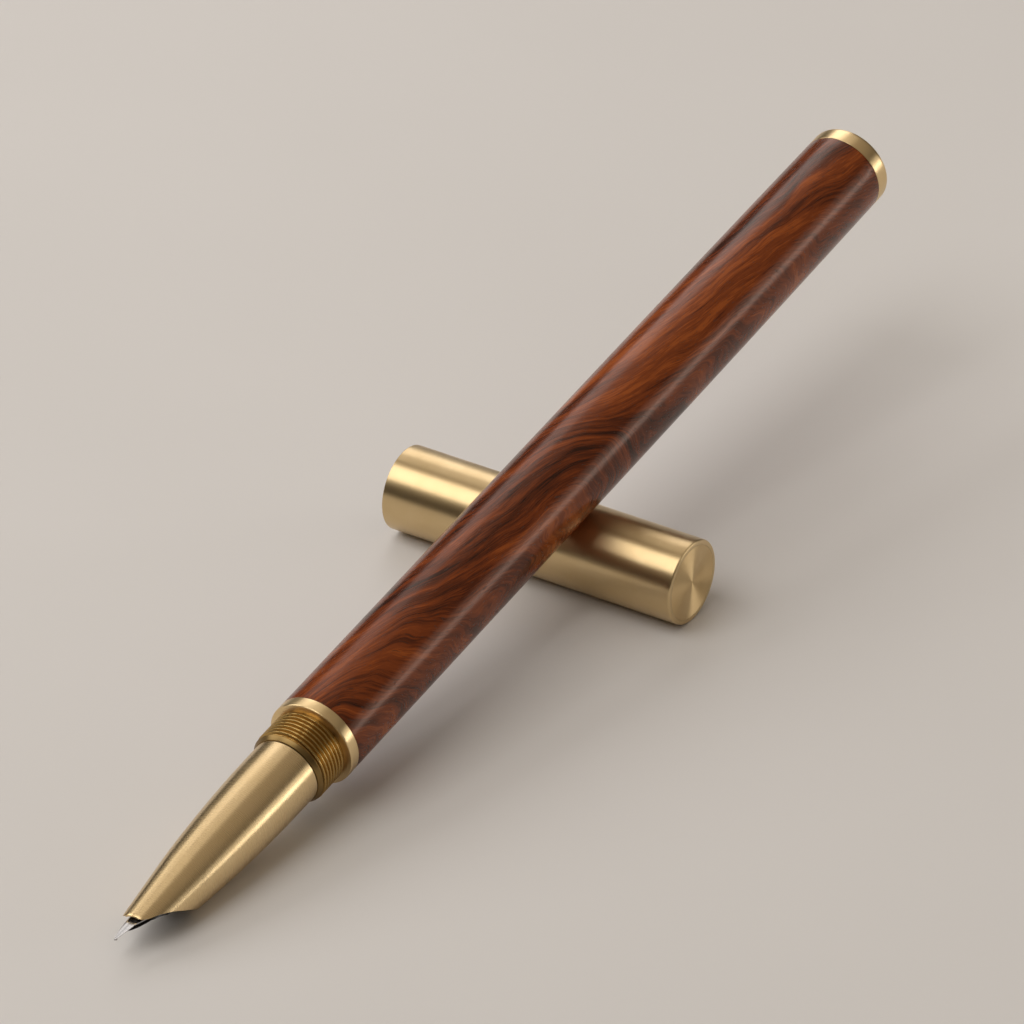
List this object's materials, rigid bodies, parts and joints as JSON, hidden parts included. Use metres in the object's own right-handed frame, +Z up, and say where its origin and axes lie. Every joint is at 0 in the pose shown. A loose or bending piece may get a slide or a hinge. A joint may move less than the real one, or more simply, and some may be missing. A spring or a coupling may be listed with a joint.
{
  "type": "fountain pen",
  "caption": "Slim fountain pen with a hooded steel nib, polished wooden barrel and satin brass fittings, resting across its brass cap.",
  "frame": {"origin": "middle of the resting object's footprint, on the surface that it lies on", "axes": "+X along the pen seen from above, towards the nib; +Y along the cap, towards its closed end; +Z up"},
  "size_m": [0.1442, 0.0364, 0.0287],
  "materials": {
    "satin_brass": "satin, finely turned",
    "polished_wood": "polished, streaked red-brown and near-black",
    "nib_steel": "fine brushed",
    "hard_tip": "polished bead",
    "black_plastic": "smooth moulded black",
    "clear_plastic": "clear, polished",
    "converter_metal": "polished plating",
    "seal_rubber": "soft black"
  },
  "bodies": {
    "section": {"threaded_collar": "satin_brass", "trim_ring": "satin_brass", "hood": "satin_brass", "hood_o_ring": "seal_rubber", "nib_housing": "black_plastic", "collector": "black_plastic", "feed": "black_plastic", "nib": "nib_steel", "nib_tipping": "hard_tip"},
    "barrel": {"wood_barrel": "polished_wood", "barrel_liner": "satin_brass", "barrel_gasket": "seal_rubber", "tail_bush": "black_plastic", "tail_finial": "satin_brass"},
    "converter": {"converter_tube": "clear_plastic", "converter_sleeve": "converter_metal"},
    "knob": {"converter_knob": "black_plastic", "drive_spindle": "converter_metal"},
    "piston": {"piston_seal": "seal_rubber", "piston_rod": "black_plastic"},
    "cap": {"cap_tube": "satin_brass", "cap_end_plug": "satin_brass", "cap_lining": "black_plastic"}
  },
  "joints": [
    {"name": "barrel_draw", "type": "slide", "parent": "section", "child": "barrel", "axis": [-0.9876, 0, 0.1567], "range_m": [0, 0.095]},
    {"name": "cap_draw", "type": "slide", "parent": "section", "child": "cap", "axis": [0, 1, 0], "range_m": [0, 0.03]},
    {"name": "converter_draw", "type": "slide", "parent": "section", "child": "converter", "axis": [-0.9876, 0, 0.1567], "range_m": [0, 0.0075]},
    {"name": "piston_slide", "type": "slide", "parent": "converter", "child": "piston", "axis": [0.9876, 0, -0.1567], "range_m": [0, 0.027]},
    {"name": "knob_turn", "type": "hinge", "parent": "converter", "child": "knob", "pos_m": [-0.04003, 0.00315, 0.01896], "axis": [0.9876, 0, -0.1567], "range_deg": [0, 3245]}
  ],
  "couplings": [
    {"joint": "knob_turn", "follows": "piston_slide", "rad_per_m": 2094.4}
  ]
}
